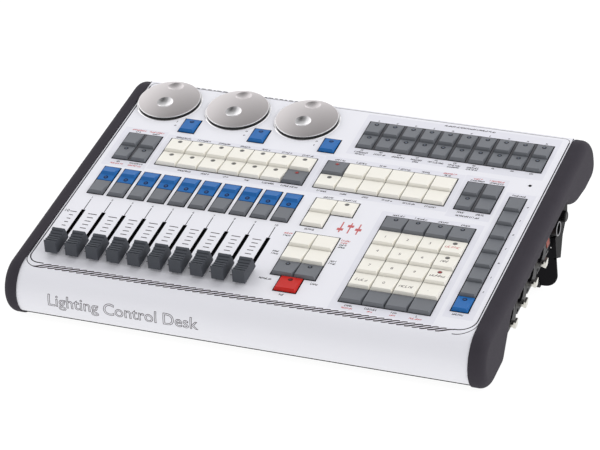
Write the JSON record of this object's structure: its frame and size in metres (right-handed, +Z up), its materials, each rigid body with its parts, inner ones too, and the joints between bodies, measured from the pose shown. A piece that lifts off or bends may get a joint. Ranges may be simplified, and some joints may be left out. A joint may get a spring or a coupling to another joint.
{
  "type": "lighting control desk",
  "caption": "Lighting control desk on a fold-out leg: sloping panel with jog wheels, faders with key pairs, key blocks, numeric pad, moulded cheeks.",
  "frame": {"origin": "on the floor, under the middle of the desk's outline", "axes": "+X right as the operator sees it, +Y away from the operator, +Z up; the panel slopes up towards +Y"},
  "size_m": [0.413, 0.2954, 0.1213],
  "materials": {
    "panel_paint": "satin powder coat",
    "case_black": "black powder coat",
    "cheek_rubber": "fine textured soft moulding",
    "socket_black": "satin",
    "latch_metal": "nickel plated",
    "switch_black": "satin",
    "socket_metal": "plated",
    "board": "solder resist",
    "supply_case": "plated",
    "screw_steel": "zinc",
    "foot_rubber": "matt",
    "leg_black": "black powder coat",
    "knob_black": "matt with a metal end",
    "key_blue": "satin",
    "key_white": "satin",
    "key_red": "satin",
    "key_grey": "satin",
    "cap_grey": "matt",
    "wheel_aluminium": "satin turned",
    "wheel_rubber": "ribbed"
  },
  "bodies": {
    "case": {"bottom_tray": "case_black", "case_screws": "screw_steel", "cheek_left": "cheek_rubber", "cheek_right": "cheek_rubber", "data_sockets": "socket_metal", "encoder_bodies": "socket_metal", "fader_bodies": "switch_black", "key_board": "board", "key_switches": "switch_black", "main_board": "board", "output_sockets": "socket_black", "power_inlet": "socket_black", "power_supply": "supply_case", "rear_panel": "case_black", "rocker_frame": "switch_black", "side_plate_left": "case_black", "side_plate_right": "case_black", "spacers": "socket_metal", "top_panel": "panel_paint", "tray_feet": "foot_rubber"},
    "leg": {"leg_plate": "leg_black", "leg_foot": "foot_rubber", "leg_arm_left": "leg_black", "leg_arm_right": "leg_black"},
    "leg_knob_left": {"leg_knob_left": "knob_black"},
    "leg_knob_right": {"leg_knob_right": "knob_black"},
    "power_rocker": {"power_rocker": "switch_black"},
    "socket_latches": {"socket_latches": "latch_metal"},
    "wheel_1": {"wheel_disc_1": "wheel_aluminium", "wheel_grip_1": "wheel_rubber"},
    "wheel_2": {"wheel_disc_2": "wheel_aluminium", "wheel_grip_2": "wheel_rubber"},
    "wheel_3": {"wheel_disc_3": "wheel_aluminium", "wheel_grip_3": "wheel_rubber"},
    "fader_1": {"fader_cap_1": "cap_grey"},
    "fader_2": {"fader_cap_2": "cap_grey"},
    "fader_3": {"fader_cap_3": "cap_grey"},
    "fader_4": {"fader_cap_4": "cap_grey"},
    "fader_5": {"fader_cap_5": "cap_grey"},
    "fader_6": {"fader_cap_6": "cap_grey"},
    "fader_7": {"fader_cap_7": "cap_grey"},
    "fader_8": {"fader_cap_8": "cap_grey"},
    "fader_9": {"fader_cap_9": "cap_grey"},
    "fader_10": {"fader_cap_10": "cap_grey"},
    "playback_keys_upper": {"playback_keys_upper": "key_blue"},
    "playback_keys_lower": {"playback_keys_lower": "key_grey"},
    "wheel_keys": {"wheel_keys": "key_blue"},
    "page_keys": {"page_keys": "key_grey"},
    "menu_keys": {"menu_keys": "key_white"},
    "select_keys": {"select_keys": "key_white"},
    "shift_keys": {"shift_keys": "key_grey"},
    "macro_keys": {"macro_keys": "key_grey"},
    "layer_keys": {"layer_keys": "key_grey"},
    "soft_keys": {"soft_keys": "key_grey", "soft_select_key": "key_blue"},
    "numeric_keys": {"numeric_keys": "key_white", "numeric_function_keys": "key_grey"},
    "edit_keys": {"edit_keys": "key_white", "edit_function_keys": "key_grey"},
    "release_key": {"release_key": "key_red"}
  },
  "joints": [
    {"name": "leg_fold", "type": "hinge", "parent": "case", "child": "leg", "pos_m": [0, 0.07615, 0.06769], "axis": [1, 0, 0], "range_deg": [0, 90]},
    {"name": "knob_turn_left", "type": "hinge", "parent": "case", "child": "leg_knob_left", "pos_m": [-0.198, 0.07615, 0.06769], "axis": [-1, 0, 0], "range_deg": [0, 180]},
    {"name": "knob_turn_right", "type": "hinge", "parent": "case", "child": "leg_knob_right", "pos_m": [0.198, 0.07615, 0.06769], "axis": [1, 0, 0], "range_deg": [0, 180]},
    {"name": "power_switch", "type": "hinge", "parent": "case", "child": "power_rocker", "pos_m": [0.1925, 0.05003, 0.05785], "axis": [0, -0.9636, -0.2672], "range_deg": [0, 10]},
    {"name": "latch_push", "type": "slide", "parent": "case", "child": "socket_latches", "axis": [-1, 0, 0], "range_m": [0, 0.0015], "stiffness_N_per_m": 900, "springref_m": -0.0004},
    {"name": "wheel_spin_1", "type": "hinge", "parent": "case", "child": "wheel_1", "pos_m": [-0.1648, 0.09891, 0.11136], "axis": [0, -0.2672, 0.9636], "continuous": true},
    {"name": "wheel_spin_2", "type": "hinge", "parent": "case", "child": "wheel_2", "pos_m": [-0.10057, 0.09891, 0.11136], "axis": [0, -0.2672, 0.9636], "continuous": true},
    {"name": "wheel_spin_3", "type": "hinge", "parent": "case", "child": "wheel_3", "pos_m": [-0.03634, 0.09891, 0.11136], "axis": [0, -0.2672, 0.9636], "continuous": true},
    {"name": "fader_slide_1", "type": "slide", "parent": "case", "child": "fader_1", "axis": [0, 0.9636, 0.2672], "range_m": [0, 0.0486]},
    {"name": "fader_slide_2", "type": "slide", "parent": "case", "child": "fader_2", "axis": [0, 0.9636, 0.2672], "range_m": [0, 0.0486]},
    {"name": "fader_slide_3", "type": "slide", "parent": "case", "child": "fader_3", "axis": [0, 0.9636, 0.2672], "range_m": [0, 0.0486]},
    {"name": "fader_slide_4", "type": "slide", "parent": "case", "child": "fader_4", "axis": [0, 0.9636, 0.2672], "range_m": [0, 0.0486]},
    {"name": "fader_slide_5", "type": "slide", "parent": "case", "child": "fader_5", "axis": [0, 0.9636, 0.2672], "range_m": [0, 0.0486]},
    {"name": "fader_slide_6", "type": "slide", "parent": "case", "child": "fader_6", "axis": [0, 0.9636, 0.2672], "range_m": [0, 0.0486]},
    {"name": "fader_slide_7", "type": "slide", "parent": "case", "child": "fader_7", "axis": [0, 0.9636, 0.2672], "range_m": [0, 0.0486]},
    {"name": "fader_slide_8", "type": "slide", "parent": "case", "child": "fader_8", "axis": [0, 0.9636, 0.2672], "range_m": [0, 0.0486]},
    {"name": "fader_slide_9", "type": "slide", "parent": "case", "child": "fader_9", "axis": [0, 0.9636, 0.2672], "range_m": [0, 0.0486]},
    {"name": "fader_slide_10", "type": "slide", "parent": "case", "child": "fader_10", "axis": [0, 0.9636, 0.2672], "range_m": [0, 0.0486]},
    {"name": "press_playback_keys_upper", "type": "slide", "parent": "case", "child": "playback_keys_upper", "axis": [0, 0.2672, -0.9636], "range_m": [0, 0.0025], "stiffness_N_per_m": 791, "springref_m": -0.0008},
    {"name": "press_playback_keys_lower", "type": "slide", "parent": "case", "child": "playback_keys_lower", "axis": [0, 0.2672, -0.9636], "range_m": [0, 0.0025], "stiffness_N_per_m": 791, "springref_m": -0.0008},
    {"name": "press_wheel_keys", "type": "slide", "parent": "case", "child": "wheel_keys", "axis": [0, 0.2672, -0.9636], "range_m": [0, 0.0025], "stiffness_N_per_m": 433, "springref_m": -0.0008},
    {"name": "press_page_keys", "type": "slide", "parent": "case", "child": "page_keys", "axis": [0, 0.2672, -0.9636], "range_m": [0, 0.0025], "stiffness_N_per_m": 500, "springref_m": -0.0008},
    {"name": "press_menu_keys", "type": "slide", "parent": "case", "child": "menu_keys", "axis": [0, 0.2672, -0.9636], "range_m": [0, 0.0025], "stiffness_N_per_m": 901, "springref_m": -0.0008},
    {"name": "press_select_keys", "type": "slide", "parent": "case", "child": "select_keys", "axis": [0, 0.2672, -0.9636], "range_m": [0, 0.0025], "stiffness_N_per_m": 829, "springref_m": -0.0008},
    {"name": "press_shift_keys", "type": "slide", "parent": "case", "child": "shift_keys", "axis": [0, 0.2672, -0.9636], "range_m": [0, 0.0025], "stiffness_N_per_m": 354, "springref_m": -0.0008},
    {"name": "press_macro_keys", "type": "slide", "parent": "case", "child": "macro_keys", "axis": [0, 0.2672, -0.9636], "range_m": [0, 0.0025], "stiffness_N_per_m": 1118, "springref_m": -0.0008},
    {"name": "press_layer_keys", "type": "slide", "parent": "case", "child": "layer_keys", "axis": [0, 0.2672, -0.9636], "range_m": [0, 0.0025], "stiffness_N_per_m": 500, "springref_m": -0.0008},
    {"name": "press_soft_keys", "type": "slide", "parent": "case", "child": "soft_keys", "axis": [0, 0.2672, -0.9636], "range_m": [0, 0.0025], "stiffness_N_per_m": 707, "springref_m": -0.0008},
    {"name": "press_numeric_keys", "type": "slide", "parent": "case", "child": "numeric_keys", "axis": [0, 0.2672, -0.9636], "range_m": [0, 0.0025], "stiffness_N_per_m": 1225, "springref_m": -0.0008},
    {"name": "press_edit_keys", "type": "slide", "parent": "case", "child": "edit_keys", "axis": [0, 0.2672, -0.9636], "range_m": [0, 0.0025], "stiffness_N_per_m": 750, "springref_m": -0.0008},
    {"name": "press_release_key", "type": "slide", "parent": "case", "child": "release_key", "axis": [0, 0.2672, -0.9636], "range_m": [0, 0.0025], "stiffness_N_per_m": 250, "springref_m": -0.0008}
  ]
}
